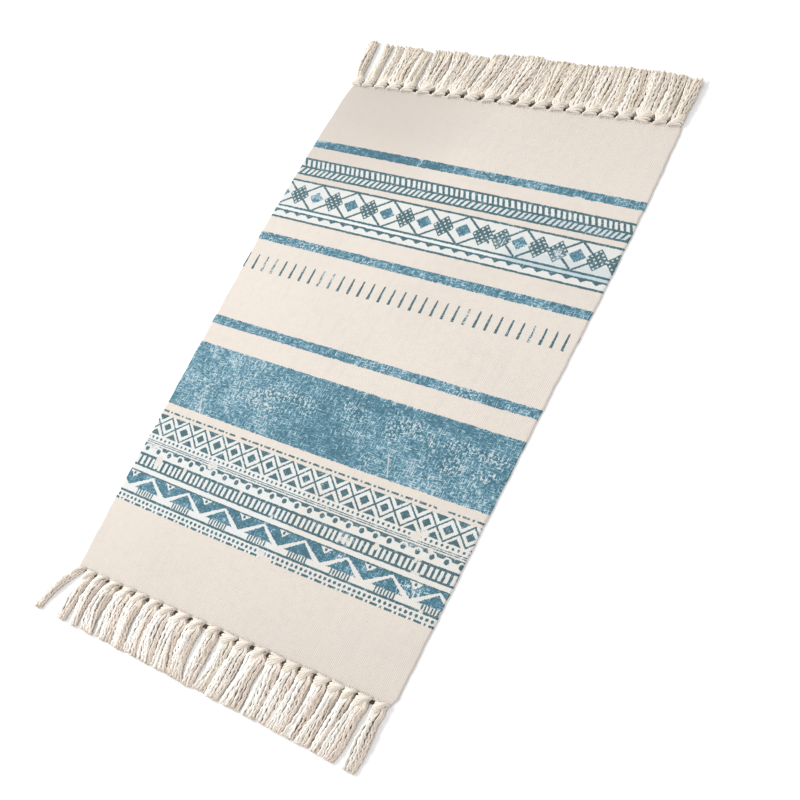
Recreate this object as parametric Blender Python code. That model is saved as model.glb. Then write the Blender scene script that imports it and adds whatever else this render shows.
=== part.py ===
"""Floor mat: one flat-woven cotton panel with a knotted fringe at each short end.

Metres, +Z up. The origin is the middle of the panel's underside. +X runs across the
width to the right, and +Y runs along the length from the near fringe to the far one.
The warp ends of the cloth are knotted in bunches to make each fringe, so a fringe is a
narrow strip of the cloth's last picks with a knot and a few strands for every tassel.
"""

import random
from collections import namedtuple

import bmesh
import bpy

# The columns of the tables below
Selvedge = namedtuple("Selvedge", "along left right")
Fringe = namedtuple("Fringe", "name outward left_end right_end left_reach right_reach")
Tassel = namedtuple("Tassel", "root bend tip spread uneven")
Head = namedtuple("Head", "out width height")
Strand = namedtuple("Strand", "share height")

# Driving dimensions of the cloth
CLOTH_LENGTH = 0.880
CLOTH_THICKNESS = 0.003
STRIP_DEPTH = 0.004
PARTING_GAP = 0.0003

# The selvedges bow outwards, and the cloth is drawn in at its near right corner.
PANEL_END = CLOTH_LENGTH / 2 - STRIP_DEPTH - PARTING_GAP
SELVEDGE_ROWS = (
    (-PANEL_END, -0.3005, 0.2930),
    (-0.428, -0.3015, 0.2985),
    (-0.330, -0.3060, 0.2990),
    (-0.170, -0.3090, 0.2995),
    (0.000, -0.3130, 0.3020),
    (0.160, -0.3165, 0.3055),
    (0.340, -0.3100, 0.3055),
    (0.420, -0.3045, 0.3030),
    (PANEL_END, -0.3005, 0.3020),
)

# Each fringe's strip ends at the cloth's corners, and its tassels lengthen across it.
FRINGE_ROWS = (
    ("fringe_near", -1, -0.3005, 0.2930, 0.079, 0.090),
    ("fringe_far", 1, -0.3005, 0.3020, 0.084, 0.084),
)

# Every tassel from left to right: where it leaves the cloth, where it has run half
# way, where its cut end lies, how wide that end spreads, and how far it is cut from
# its fringe's even line.
TASSEL_ROWS = {
    "fringe_near": (
        (-0.2905, -0.319, -0.334, 0.018, 0.000),
        (-0.2690, -0.277, -0.278, 0.020, 0.000),
        (-0.2440, -0.254, -0.250, 0.016, 0.000),
        (-0.2150, -0.227, -0.222, 0.022, 0.000),
        (-0.1870, -0.190, -0.185, 0.035, -0.001),
        (-0.1600, -0.164, -0.155, 0.024, 0.000),
        (-0.1300, -0.133, -0.125, 0.026, -0.001),
        (-0.1020, -0.107, -0.098, 0.026, 0.000),
        (-0.0730, -0.075, -0.063, 0.034, 0.000),
        (-0.0430, -0.046, -0.034, 0.022, 0.000),
        (-0.0130, -0.012, -0.011, 0.018, 0.001),
        (0.0170, 0.019, 0.011, 0.020, -0.001),
        (0.0460, 0.042, 0.036, 0.025, 0.001),
        (0.0760, 0.073, 0.070, 0.034, 0.000),
        (0.1040, 0.108, 0.105, 0.026, 0.000),
        (0.1320, 0.134, 0.131, 0.021, -0.001),
        (0.1590, 0.159, 0.154, 0.021, 0.000),
        (0.1850, 0.186, 0.179, 0.021, 0.000),
        (0.2100, 0.207, 0.201, 0.017, 0.000),
        (0.2320, 0.228, 0.222, 0.015, 0.000),
        (0.2550, 0.250, 0.245, 0.021, 0.001),
        (0.2825, 0.281, 0.281, 0.020, 0.001),
    ),
    "fringe_far": (
        (-0.2905, -0.301, -0.305, 0.018, 0.003),
        (-0.2690, -0.268, -0.272, 0.018, -0.001),
        (-0.2430, -0.242, -0.246, 0.016, -0.002),
        (-0.2150, -0.217, -0.219, 0.034, -0.001),
        (-0.1870, -0.189, -0.190, 0.020, -0.007),
        (-0.1550, -0.152, -0.158, 0.034, -0.002),
        (-0.1240, -0.120, -0.125, 0.023, 0.000),
        (-0.0940, -0.090, -0.085, 0.034, -0.005),
        (-0.0620, -0.051, -0.049, 0.028, 0.002),
        (-0.0300, -0.020, -0.014, 0.023, 0.004),
        (0.0000, 0.013, 0.012, 0.025, 0.006),
        (0.0330, 0.045, 0.046, 0.025, 0.000),
        (0.0640, 0.069, 0.070, 0.022, 0.001),
        (0.0950, 0.098, 0.099, 0.021, -0.001),
        (0.1240, 0.128, 0.122, 0.021, 0.000),
        (0.1520, 0.155, 0.150, 0.023, 0.002),
        (0.1800, 0.182, 0.175, 0.020, 0.003),
        (0.2080, 0.208, 0.202, 0.022, 0.002),
        (0.2380, 0.238, 0.231, 0.027, 0.002),
        (0.2670, 0.266, 0.261, 0.023, 0.000),
        (0.2900, 0.291, 0.288, 0.020, -0.004),
    ),
}

# A tassel's head, from the cloth's edge outwards: the bunched warp, its overhand knot
# and the neck where the strands part.
PARTING_BETWEEN = 0.0040
CORNER_MARGIN = 0.0010
HEAD_ROUNDNESS = 0.72
HEAD_ROWS = (
    (0.0038, 0.0168, 0.0046),
    (0.0076, 0.0186, 0.0100),
    (0.0130, 0.0176, 0.0092),
    (0.0168, 0.0150, 0.0054),
)

# The strands run from the neck to the cut end, and settle flat on the floor.
NARROW_SPREAD = 0.0205
STRANDS_IN_NARROW = 5
STRANDS_IN_WIDE = 6
STRAND_WIDTH = 0.0028
STRAND_SHARE = 0.80
STRAND_ROWS = (
    (0.06, 0.0044),
    (0.34, 0.0030),
    (0.67, 0.0027),
    (1.00, 0.0025),
)
RAGGED_END = 0.0022
RAGGED_SEED = 11

CLOTH_COLOUR = (0.79, 0.73, 0.66, 1.0)
YARN_COLOUR = (0.73, 0.67, 0.60, 1.0)
COTTON_ROUGHNESS = 0.92


def clear_scene():
    """Remove every object that the file opens with."""
    for item in list(bpy.data.objects):
        bpy.data.objects.remove(item, do_unlink=True)


def make_collection(name):
    """A collection for the whole mat."""
    collection = bpy.data.collections.new(name)
    bpy.context.scene.collection.children.link(collection)
    return collection


def cotton(name, colour):
    """A matt cotton finish in one colour."""
    material = bpy.data.materials.new(name)
    material.use_nodes = True
    shader = material.node_tree.nodes["Principled BSDF"]
    shader.inputs["Base Color"].default_value = colour
    shader.inputs["Roughness"].default_value = COTTON_ROUGHNESS
    shader.inputs["Metallic"].default_value = 0.0
    return material


def make_panel(collection, material):
    """The woven panel: its outline as a filled flat curve, extruded to the cloth's thickness."""
    rows = [Selvedge(*row) for row in SELVEDGE_ROWS]
    right_side = [(row.right, row.along) for row in rows]
    left_side = [(row.left, row.along) for row in reversed(rows)]
    outline = right_side + left_side
    curve = bpy.data.curves.new("woven_panel", "CURVE")
    curve.dimensions = "2D"
    curve.fill_mode = "BOTH"
    curve.extrude = CLOTH_THICKNESS / 2
    spline = curve.splines.new("POLY")
    spline.points.add(len(outline) - 1)
    for point, (across, along) in zip(spline.points, outline):
        point.co = (across, along, 0.0, 1.0)
    spline.use_cyclic_u = True
    curve.materials.append(material)
    panel = bpy.data.objects.new("woven_panel", curve)
    panel.location.z = CLOTH_THICKNESS / 2
    collection.objects.link(panel)


def strand_count(tassel):
    """A tassel that spreads little has fewer strands."""
    return STRANDS_IN_NARROW if tassel.spread < NARROW_SPREAD else STRANDS_IN_WIDE


def strip_lines(tassels, left_end, right_end):
    """Where the strip is divided across: at its ends, and at each strand of each tassel."""
    between = [(left.root + right.root) / 2 for left, right in zip(tassels, tassels[1:])]
    starts = [left_end + CORNER_MARGIN] + [part + PARTING_BETWEEN / 2 for part in between]
    ends = [part - PARTING_BETWEEN / 2 for part in between] + [right_end - CORNER_MARGIN]
    lines = [left_end]
    for tassel, start, end in zip(tassels, starts, ends):
        count = strand_count(tassel)
        lines += [start + (end - start) * step / count for step in range(count + 1)]
    return lines + [right_end]


def make_strip(bm, lines, outward):
    """The last picks of the cloth: an upright row of faces, extruded back by its depth."""
    spaces = len(lines) - 1
    grid = bmesh.ops.create_grid(bm, x_segments=spaces, y_segments=1, size=0.5)
    for vert in grid["verts"]:
        column = round((vert.co.x + 0.5) * spaces)
        height = CLOTH_THICKNESS if vert.co.y > 0 else 0.0
        vert.co = (lines[column], 0.0, height)
    front = sorted(bm.faces, key=lambda face: face.calc_center_median().x)
    _, back_verts = extrude_patch(bm, front)
    bmesh.ops.translate(bm, verts=back_verts, vec=(0.0, -outward * STRIP_DEPTH, 0.0))
    front = [face for face in bm.faces if all(abs(vert.co.y) < PARTING_GAP for vert in face.verts)]
    return sorted(front, key=lambda face: face.calc_center_median().x)


def extrude_patch(bm, faces):
    """Extrude some faces as one patch, and give back its new faces and points."""
    made = bmesh.ops.extrude_face_region(bm, geom=faces)["geom"]
    new_faces = [item for item in made if isinstance(item, bmesh.types.BMFace)]
    new_verts = [item for item in made if isinstance(item, bmesh.types.BMVert)]
    return new_faces, new_verts


def grow_patch(bm, faces):
    """Extrude a patch of a closed surface, and leave no face behind inside it."""
    new_faces, new_verts = extrude_patch(bm, faces)
    bmesh.ops.delete(bm, geom=faces, context="FACES")
    return new_faces, new_verts


def place_section(verts, centre, out, width, height, roundness=0.0):
    """Set a row of upright point pairs on the floor as a section, crowned in the middle."""
    in_order = sorted(verts, key=lambda vert: vert.co.x)
    pairs = [in_order[first:first + 2] for first in range(0, len(in_order), 2)]
    for number, pair in enumerate(pairs):
        low, high = sorted(pair, key=lambda vert: vert.co.z)
        across = 2 * number / (len(pairs) - 1) - 1
        crown = 1 - roundness * across ** 2
        side = centre + across * width / 2
        low.co = (side, out, 0.0)
        high.co = (side, out, height * crown)


def centre_line(tassel, share):
    """A smooth line through a tassel's root, bend and tip."""
    at_root = tassel.root * (1 - share) * (1 - 2 * share)
    at_bend = tassel.bend * 4 * share * (1 - share)
    at_tip = tassel.tip * share * (2 * share - 1)
    return at_root + at_bend + at_tip


def make_tassel(bm, faces, tassel, reach, outward, ragged):
    """One tassel: a gathered and knotted head, then strands that fan out to the cut end."""
    head = [Head(*row) for row in HEAD_ROWS]
    for row in head:
        faces, verts = grow_patch(bm, faces)
        centre = centre_line(tassel, row.out / reach)
        place_section(verts, centre, outward * row.out, row.width, row.height, HEAD_ROUNDNESS)
    neck = head[-1]
    faces = sorted(faces, key=lambda face: face.calc_center_median().x)
    for number, face in enumerate(faces):
        strand_reach = reach + ragged.uniform(-RAGGED_END, RAGGED_END)
        from_middle = number + 0.5 - len(faces) / 2
        for row in [Strand(*row) for row in STRAND_ROWS]:
            out = neck.out + row.share * (strand_reach - neck.out)
            pitch = (neck.width + (tassel.spread - neck.width) * row.share) / len(faces)
            width = min(STRAND_WIDTH, pitch * STRAND_SHARE)
            centre = centre_line(tassel, out / reach) + from_middle * pitch
            face = bmesh.ops.extrude_discrete_faces(bm, faces=[face])["faces"][0]
            place_section(face.verts, centre, outward * out, width, row.height)


def make_fringe(fringe, collection, material):
    """One fringe: its strip along the cloth's edge, with all the tassels grown from it."""
    tassels = [Tassel(*row) for row in TASSEL_ROWS[fringe.name]]
    ragged = random.Random(RAGGED_SEED)
    bm = bmesh.new()
    lines = strip_lines(tassels, fringe.left_end, fringe.right_end)
    front = make_strip(bm, lines, fringe.outward)
    patches = []
    first = 1
    for tassel in tassels:
        count = strand_count(tassel)
        patches.append(front[first:first + count])
        first += count + 1
    longer = (fringe.right_reach - fringe.left_reach) / (len(tassels) - 1)
    for number, (tassel, patch) in enumerate(zip(tassels, patches)):
        reach = fringe.left_reach + longer * number + tassel.uneven
        make_tassel(bm, patch, tassel, reach, fringe.outward, ragged)
    bmesh.ops.recalc_face_normals(bm, faces=bm.faces)
    mesh = bpy.data.meshes.new(fringe.name)
    bm.to_mesh(mesh)
    bm.free()
    mesh.materials.append(material)
    item = bpy.data.objects.new(fringe.name, mesh)
    item.location.y = fringe.outward * CLOTH_LENGTH / 2
    collection.objects.link(item)


def main():
    """Build the whole mat."""
    clear_scene()
    collection = make_collection("floor_mat")
    make_panel(collection, cotton("woven_cotton", CLOTH_COLOUR))
    yarn = cotton("fringe_yarn", YARN_COLOUR)
    for row in FRINGE_ROWS:
        make_fringe(Fringe(*row), collection, yarn)


main()
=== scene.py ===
# %% [markdown]
# # A block-printed cotton floor mat
#
# The real mat is one piece of cream, flat-woven cotton. A printer stamps worn blue
# borders across it, and the weaver knots its own warp ends into tassels at both short
# ends. Nothing is sewn on, so the mat has three pieces: the cloth, and a fringe at each
# end. This notebook makes them one by one, from the scene around the mat to the last
# yarn.

# %% The frame that the mat is made in
import math
import random
from collections import namedtuple
from functools import partialmethod, reduce

import bpy
import numpy as np
from mathutils import Matrix, Vector


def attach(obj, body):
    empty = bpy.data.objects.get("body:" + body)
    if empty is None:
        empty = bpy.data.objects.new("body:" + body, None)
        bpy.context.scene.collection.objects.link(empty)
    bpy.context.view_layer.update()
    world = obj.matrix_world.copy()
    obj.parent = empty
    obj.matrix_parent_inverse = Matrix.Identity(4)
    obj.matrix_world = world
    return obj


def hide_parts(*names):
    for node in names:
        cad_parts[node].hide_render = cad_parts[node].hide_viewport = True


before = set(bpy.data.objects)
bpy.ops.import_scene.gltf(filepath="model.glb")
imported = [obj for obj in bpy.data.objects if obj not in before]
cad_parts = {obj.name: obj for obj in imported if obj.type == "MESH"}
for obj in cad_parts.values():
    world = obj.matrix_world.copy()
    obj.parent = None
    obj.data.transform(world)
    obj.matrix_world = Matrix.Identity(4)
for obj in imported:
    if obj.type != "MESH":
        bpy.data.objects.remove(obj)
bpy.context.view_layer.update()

print("nodes in the frame:", sorted(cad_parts))

# %% [markdown]
# ## Camera
#
# We look down on the mat from above its right side, and the mat lies slantwise in the
# picture. A camera can be turned by its rotation values, or by a matrix of the three
# directions that it looks along. The matrix is clearer here, because each of its columns
# can be named: to the right, up and back towards us.

# %% Camera
AIM = Vector((0.0863, -0.0555, 0.003))
DISTANCE = 2.0267
AZIMUTH = math.radians(66.511)
ELEVATION = math.radians(49.554)
ROLL = math.radians(-44.095)
LENS_MM = 66.20
SENSOR_MM = 36.0

back = Vector((math.sin(AZIMUTH) * math.cos(ELEVATION),
               -math.cos(AZIMUTH) * math.cos(ELEVATION),
               math.sin(ELEVATION)))
level = Vector((math.cos(AZIMUTH), math.sin(AZIMUTH), 0.0))
upright = back.cross(level)
to_right = level * math.cos(ROLL) + upright * math.sin(ROLL)
to_top = upright * math.cos(ROLL) - level * math.sin(ROLL)

camera = bpy.data.objects.new("camera", bpy.data.cameras.new("camera"))
camera.data.lens = LENS_MM
camera.data.sensor_width = SENSOR_MM
camera.data.clip_start = 0.05
turn = Matrix((to_right, to_top, back)).transposed().to_4x4()
camera.matrix_world = Matrix.Translation(AIM + back * DISTANCE) @ turn
bpy.context.scene.collection.objects.link(camera)
bpy.context.scene.camera = camera
print("camera at", [round(n, 3) for n in camera.matrix_world.translation])

# %% [markdown]
# ## Floor and light
#
# The mat was shown on plain white, in soft light that comes mostly from its left. A wide
# area lamp gives soft shadows, and a pale world fills them. The floor is one big pale
# sheet of its own, apart from the mat.

# %% Floor and light
FLOOR_SIZE = 14.0
FLOOR_DROP = 0.0001
FLOOR_COLOUR = (0.95, 0.95, 0.95, 1.0)
WORLD_STRENGTH = 0.80
KEY_PLACE = Vector((-3.6, 0.2, 2.5))
KEY_SIZE = 2.0
KEY_POWER = 171.0
FILL_PLACE = Vector((1.2, -1.6, 2.6))
FILL_SIZE = 2.4
FILL_POWER = 10.0

bpy.context.scene.view_settings.view_transform = "Standard"


def make_floor():
    """A level sheet just under the mat."""
    bpy.ops.mesh.primitive_plane_add(size=FLOOR_SIZE, location=(0.0, 0.0, -FLOOR_DROP))
    floor = bpy.context.active_object
    floor.name = "floor"
    paint = bpy.data.materials.new("floor_paint")
    paint.use_nodes = True
    shader = paint.node_tree.nodes["Principled BSDF"]
    shader.inputs["Base Color"].default_value = FLOOR_COLOUR
    shader.inputs["Roughness"].default_value = 0.8
    floor.data.materials.append(paint)
    return floor


def make_lamp(name, place, size, power):
    """A square area lamp that faces the middle of the mat."""
    lamp = bpy.data.objects.new(name, bpy.data.lights.new(name, "AREA"))
    lamp.data.size = size
    lamp.data.energy = power
    lamp.location = place
    lamp.rotation_euler = (-place).to_track_quat("-Z", "Y").to_euler()
    bpy.context.scene.collection.objects.link(lamp)
    return lamp


floor = make_floor()
make_lamp("key_lamp", KEY_PLACE, KEY_SIZE, KEY_POWER)
make_lamp("fill_lamp", FILL_PLACE, FILL_SIZE, FILL_POWER)
world = bpy.data.worlds.new("soft_room")
world.use_nodes = True
world.node_tree.nodes["Background"].inputs["Color"].default_value = (1.0, 1.0, 1.0, 1.0)
world.node_tree.nodes["Background"].inputs["Strength"].default_value = WORLD_STRENGTH
bpy.context.scene.world = world
print("floor", FLOOR_SIZE, "m wide, two lamps and a pale world")

# %% [markdown]
# ## The outline of the cloth
#
# Woven cloth is never a true rectangle. Its two selvedges bow outwards, and one corner is
# drawn in where the last knot was pulled tight. A short table holds the left and right
# edge at a few places along the length, and numpy fills in what lies between. A slow
# ripple of half a millimetre keeps the edges from looking ruled.

# %% The outline of the cloth
Selvedge = namedtuple("Selvedge", "along left right")

CLOTH_LENGTH = 0.880
CLOTH_THICKNESS = 0.0026
CLOTH_END = CLOTH_LENGTH / 2

SELVEDGES = [Selvedge(*row) for row in (
    (-CLOTH_END, -0.3005, 0.2930),
    (-0.428, -0.3015, 0.2985),
    (-0.330, -0.3060, 0.2990),
    (-0.170, -0.3090, 0.2995),
    (0.000, -0.3130, 0.3020),
    (0.160, -0.3165, 0.3055),
    (0.340, -0.3100, 0.3055),
    (0.420, -0.3045, 0.3030),
    (CLOTH_END, -0.3005, 0.3020),
)]
RIPPLE = 0.0004
SLOW_RIPPLE = 118
QUICK_RIPPLE = 301
QUICK_SHARE = 0.6
RIPPLE_STARTS = {"left": 1.0, "right": 2.3}


def selvedge(along, side):
    """Where one selvedge lies at each place along the cloth."""
    places = [row.along for row in SELVEDGES]
    edges = [getattr(row, side) for row in SELVEDGES]
    start = RIPPLE_STARTS[side]
    ripple = np.sin(along * SLOW_RIPPLE + start) + QUICK_SHARE * np.sin(along * QUICK_RIPPLE + 2 * start)
    return np.interp(along, places, edges) + RIPPLE * ripple


middle = np.array(0.0)
print("width at the middle:", round(float(selvedge(middle, "right") - selvedge(middle, "left")), 4))

# %% [markdown]
# ## The cloth
#
# The cloth is a thin closed slab. It could be a plane with a Solidify modifier, but then
# its edges would be square. Here a grid is laid over the top and another under it, and
# they share their rim. Near the rim the two close in on a half circle, so the selvedge
# looks soft, and a few slow waves lift the slab by less than a millimetre, as cotton
# never lies quite flat.

# %% The cloth
EDGE_STEPS = (0.0, 0.0002, 0.0007, 0.0015, 0.0026, 0.0044)
CELLS_ACROSS = 146
CELLS_ALONG = 210
EDGE_ROUND = 0.0026
NO_THICKNESS = 1e-7
LIFT = 0.0004
# Slow waves: how fast each turns across and along the mat, where it starts, and its size.
Wave = namedtuple("Wave", "across along start size")
WAVES = [Wave(*row) for row in ((9, 4, 0.6, 1.0), (-6, 21, 2.0, 1.0), (17, -13, 0.0, 0.7))]


def spread_places(start, end, cells):
    """Places from one edge to the other, close together beside both."""
    inner = np.array(EDGE_STEPS)
    middle = np.linspace(start + inner[-1], end - inner[-1], cells)[1:-1]
    return np.concatenate((start + inner, middle, end - inner[::-1]))


def cloth_lift(x, y):
    """How far the cloth lies off the floor."""
    waves = sum(wave.size * np.sin(wave.across * x + wave.along * y + wave.start) for wave in WAVES)
    most = sum(wave.size for wave in WAVES)
    return LIFT * (waves + most) / (2 * most)


def mesh_object(name, points, faces):
    """A new object from arrays of points and faces, shaded smooth."""
    mesh = bpy.data.meshes.new(name)
    mesh.from_pydata(points, [], faces)
    mesh.shade_smooth()
    item = bpy.data.objects.new(name, mesh)
    bpy.context.scene.collection.objects.link(item)
    return item


def triangles(item):
    """How many triangles an object's mesh comes to."""
    item.data.calc_loop_triangles()
    return len(item.data.loop_triangles)


def make_cloth():
    """The woven cloth as a closed slab with soft edges."""
    along = spread_places(-CLOTH_END, CLOTH_END, CELLS_ALONG)
    edges = zip(selvedge(along, "left"), selvedge(along, "right"))
    x = np.array([spread_places(left, right, CELLS_ACROSS) for left, right in edges])
    y = np.repeat(along[:, None], x.shape[1], axis=1)
    from_side = np.minimum(x - x[:, :1], x[:, -1:] - x)
    from_end = CLOTH_END - np.abs(y)
    inset = np.clip(np.minimum(from_side, from_end) / EDGE_ROUND, 0, 1)
    half = CLOTH_THICKNESS / 2 * np.sqrt(1 - (1 - inset) ** 2)
    middle = CLOTH_THICKNESS / 2 + cloth_lift(x, y)
    top = np.arange(x.size).reshape(x.shape)
    rim = half < NO_THICKNESS
    under = top.copy()
    under[~rim] = x.size + np.arange((~rim).sum())
    over_points = np.stack((x, y, middle + half), axis=-1).reshape(-1, 3)
    under_points = np.stack((x, y, middle - half), axis=-1)[~rim]
    corners = [np.stack((g[:-1, :-1], g[:-1, 1:], g[1:, 1:], g[1:, :-1]), axis=-1).reshape(-1, 4)
               for g in (top, under)]
    faces = np.concatenate((corners[0], corners[1][:, ::-1]))
    cloth = mesh_object("cloth", np.concatenate((over_points, under_points)).tolist(), faces.tolist())
    deep_under = (np.minimum(from_side, from_end) > EDGE_ROUND / 2)[:-1, :-1].ravel()
    cloth.data.polygons.foreach_set("material_index", np.concatenate((deep_under * 0, deep_under * 1)))
    return cloth


def store(item, name, values):
    """Keep one number for each point of a mesh, for its material to read."""
    layer = item.data.attributes.new(name, "FLOAT", "POINT")
    layer.data.foreach_set("value", np.asarray(values, dtype=np.float32))


cloth = make_cloth()
print("cloth:", triangles(cloth), "triangles,", len(cloth.data.vertices), "points")

# %% [markdown]
# ## A twisted yarn
#
# Fringe yarn is two plies twisted together, so its outline has two soft lobes that turn
# as they run along, and it keeps the crimp of the weave that it came out of. A curve with
# a round bevel would be smooth all over. Instead, we set rings of six points along a
# crimped path, and let each ring's radius follow the turning lobes. Every yarn is added
# to one big list of points, because one mesh of several hundred yarns is much lighter to
# handle than as many objects.

# %% A twisted yarn
YARN_SIDES = 6
UPPER_STEP = 0.0020
LOWER_STEP = 0.0034
YARN_THICKNESS = 0.0031
TWIST_PITCH = 0.0105
PLY_DEPTH = 0.17
ROOT_THIN = 0.5
ROOT_RUN = 0.009
CRIMP = 0.0007
CRIMP_PLAY = (0.4, 1.4)
CRIMP_PITCH = 0.0105
CRIMP_PITCH_PLAY = (0.75, 1.5)
CRIMP_UPWARDS = 0.6
CRIMP_START = 0.018
CRIMP_FULL = 0.034
SPAN_POINTS = 10
ANY_ANGLE = (0, 6)
UP = np.array((0.0, 0.0, 1.0))


def run_along(path):
    """How far along a path each of its points lies."""
    return np.concatenate(((0,), np.cumsum(np.linalg.norm(np.diff(path, axis=0), axis=1))))


def smooth_path(points, step):
    """Evenly spaced points on a smooth curve that runs through the given ones."""
    points = np.asarray(points, dtype=float)
    padded = np.vstack((2 * points[0] - points[1], points, 2 * points[-1] - points[-2]))
    t = np.linspace(0, 1, SPAN_POINTS, endpoint=False)[:, None]
    spans = []
    for before, start, end, after in zip(padded, padded[1:], padded[2:], padded[3:]):
        bend = 2 * before - 5 * start + 4 * end - after
        turn = 3 * start - before - 3 * end + after
        spans.append((2 * start + (end - before) * t + bend * t ** 2 + turn * t ** 3) / 2)
    dense = np.vstack(spans + [points[-1:]])
    runs = run_along(dense)
    even = np.linspace(0, runs[-1], max(3, round(runs[-1] / step)) + 1)
    return np.column_stack([np.interp(even, runs, dense[:, axis]) for axis in range(3)])


def crimped(path, thickness, chance):
    """A path with the small waves of the weave in it, from just past the knot."""
    run = run_along(path)
    wave = 2 * math.pi * run / (CRIMP_PITCH * chance.uniform(*CRIMP_PITCH_PLAY)) + chance.uniform(*ANY_ANGLE)
    much = CRIMP * chance.uniform(*CRIMP_PLAY) * np.interp(run, (CRIMP_START, CRIMP_FULL), (0, 1))
    path = path.copy()
    path[:, 0] += much * np.sin(wave)
    path[:, 2] = np.maximum(path[:, 2] + CRIMP_UPWARDS * much * np.cos(wave), thickness / 2)
    return path


def unit(vectors):
    """Vectors of length one."""
    return vectors / np.linalg.norm(vectors, axis=-1, keepdims=True)


class YarnHeap:
    """Many yarns that are gathered into one mesh."""

    def __init__(self):
        self.points = []
        self.faces = []
        self.stored = {"tone": [], "rosy": [], "share": [], "deep": []}
        self.total = 0
        self.count = 0

    def add(self, path, thickness, chance, tone=0.5, rosy=0.0, beside=UP, closed=False,
            sides=YARN_SIDES, plies=2, deep=0.0):
        """Add one yarn along a path. beside is a direction that the path never takes."""
        if closed:
            tangent = unit(np.roll(path, -1, axis=0) - np.roll(path, 1, axis=0))
        else:
            tangent = unit(np.gradient(path, axis=0))
        side = unit(np.cross(beside, tangent))
        over = np.cross(tangent, side)
        run = run_along(path)
        turns = run[-1] / TWIST_PITCH
        if closed:
            turns = round(turns) * (1 - 1 / len(path))
        twist = 2 * math.pi * turns * run / run[-1] + chance.uniform(*ANY_ANGLE)
        angle = np.linspace(0, 2 * math.pi, sides, endpoint=False)
        lobes = np.cos(plies * (angle[None, :] - twist[:, None]))
        radius = thickness / 2 * (1 - PLY_DEPTH + PLY_DEPTH * lobes)
        if not closed:
            radius *= np.interp(run, (0, ROOT_RUN), (ROOT_THIN, 1))[:, None]
        ring = (path[:, None, :]
                + side[:, None, :] * (radius * np.cos(angle))[:, :, None]
                + over[:, None, :] * (radius * np.sin(angle))[:, :, None])
        number = self.total + np.arange(radius.size).reshape(radius.shape)
        here = number if closed else number[:-1]
        there = np.roll(number, -1, axis=0) if closed else number[1:]
        walls = np.stack((here, np.roll(here, -1, axis=1), np.roll(there, -1, axis=1), there), axis=-1)
        self.faces += walls.reshape(-1, 4).tolist()
        if not closed:
            self.faces += [number[0, ::-1].tolist(), number[-1].tolist()]
        self.points.append(ring.reshape(-1, 3))
        share = np.repeat(np.linspace(0, 1, len(path)), sides)
        # A yarn's tone and rosy, its share of the way along, and how far it is painted near black as shade
        # are stored with its points.
        for name, value in (("tone", tone), ("rosy", rosy), ("share", share), ("deep", deep)):
            self.stored[name].append(np.broadcast_to(value, radius.size))
        self.total += radius.size
        self.count += 1

    def make(self, name):
        """The heap as one object."""
        item = mesh_object(name, np.concatenate(self.points).tolist(), self.faces)
        for kind, parts in self.stored.items():
            store(item, kind, np.concatenate(parts))
        print(f"{name}: {self.count} yarns, {triangles(item)} triangles")
        return item


print("a yarn is", round(YARN_THICKNESS * 1000, 1), "mm thick")

# %% [markdown]
# ## Where the tassels lie
#
# Each tassel was combed by hand, so no two lie alike. The table gives each one's place on
# the cloth's edge, where it has run half way, where its cut end lies, how wide that end
# spreads, and how far it is cut from the fringe's even line. A tassel's middle line is a
# curve through the first three. A row for each fringe says which way it points, where it
# starts and ends, how far it reaches, how grey its yarns are, how much paler they are painted
# on a tassel's side towards the lamp and greyer on its shaded side, and how rosy and full they are.

# %% Where the tassels lie
Fringe = namedtuple("Fringe", "name outward left_end right_end left_reach right_reach tone slope rosy full")
Tassel = namedtuple("Tassel", "root bend tip spread uneven")

# tone and slope: across each tassel the yarns are painted pale on the side towards the lamp and grey on the
# shaded side, as painted light and shade.
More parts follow.
